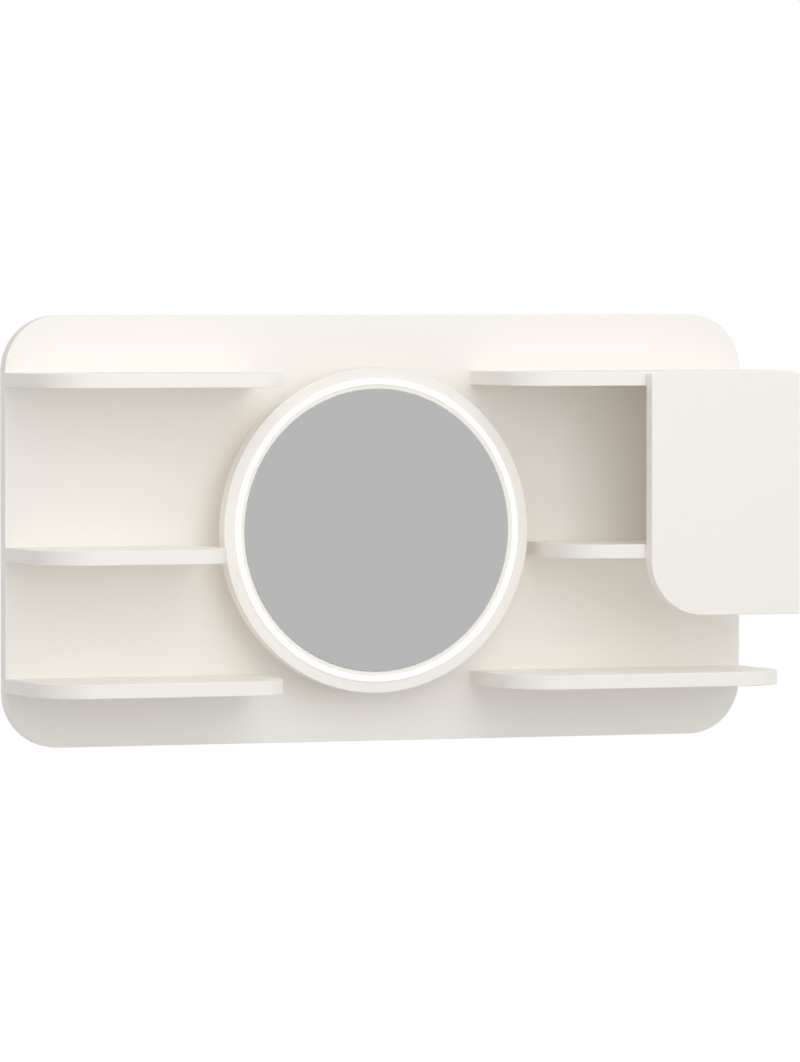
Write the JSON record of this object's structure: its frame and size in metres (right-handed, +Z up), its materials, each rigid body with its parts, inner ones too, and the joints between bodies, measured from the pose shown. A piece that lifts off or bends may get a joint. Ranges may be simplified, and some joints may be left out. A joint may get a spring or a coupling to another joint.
{
  "type": "dressing table mirror",
  "caption": "Wall-hung rounded white board with a round lit mirror, open shelves at both ends and a small hinged cupboard door at the right.",
  "frame": {"origin": "centre of the board's back face, which lies against the wall", "axes": "+X to the right seen from the room, +Y into the wall, +Z up"},
  "size_m": [1.0047, 0.208, 0.54],
  "materials": {
    "white_board": "satin white lacquer on 18 mm fibreboard",
    "white_door": "satin white lacquer on 18 mm fibreboard",
    "silvered_glass": "silvered float glass with a narrow bevel",
    "foam_tape": "white foam mounting tape",
    "opal_diffuser": "opal plastic, lit from inside",
    "circuit_strip": "white solder mask",
    "led_phosphor": "yellow phosphor under clear resin",
    "white_cable": "smooth white insulation",
    "white_plastic": "fine-grained moulded plastic",
    "terminal_plastic": "smooth moulded plastic",
    "black_rubber": "matte rubber",
    "zinc_steel": "bright zinc plating",
    "nickel_steel": "nickel plating",
    "magnet_ferrite": "dark pressed ferrite",
    "beech": "fluted beech",
    "clear_bumper": "soft pad"
  },
  "bodies": {
    "wall_unit": {"back_panel": "white_board", "left_top_shelf": "white_board", "left_middle_shelf": "white_board", "left_bottom_shelf": "white_board", "right_top_shelf": "white_board", "right_middle_shelf": "white_board", "right_bottom_shelf": "white_board", "cabinet_side": "white_board", "mirror_board": "white_board", "mirror_spacer": "white_board", "mirror_glass": "silvered_glass", "mirror_adhesive_pads": "foam_tape", "light_diffuser": "opal_diffuser", "led_strip": "circuit_strip", "led_chips": "led_phosphor", "led_lead": "white_cable", "led_driver": "white_plastic", "terminal_block": "terminal_plastic", "driver_cover": "white_plastic", "cover_screws": "zinc_steel", "cable_grommet": "black_rubber", "left_hanger_plate": "zinc_steel", "right_hanger_plate": "zinc_steel", "hanger_screws": "zinc_steel", "carcass_screws": "zinc_steel", "shelf_dowels": "beech", "side_dowels": "beech", "mirror_board_screws": "zinc_steel", "hinge_screws_side": "nickel_steel", "upper_hinge_side_leaf": "nickel_steel", "lower_hinge_side_leaf": "nickel_steel", "upper_hinge_pin": "nickel_steel", "lower_hinge_pin": "nickel_steel", "catch_housing": "white_plastic", "catch_magnet": "magnet_ferrite", "catch_screws": "zinc_steel"},
    "door_assembly": {"door": "white_door", "upper_hinge_door_leaf": "nickel_steel", "lower_hinge_door_leaf": "nickel_steel", "hinge_screws_door": "nickel_steel", "strike_plate": "nickel_steel", "strike_screw": "nickel_steel", "door_bumpers": "clear_bumper"}
  },
  "joints": [
    {"name": "door_hinge", "type": "hinge", "parent": "wall_unit", "child": "door_assembly", "pos_m": [0.5025, -0.189, 0.081], "axis": [0, 0, 1], "range_deg": [0, 180]}
  ]
}
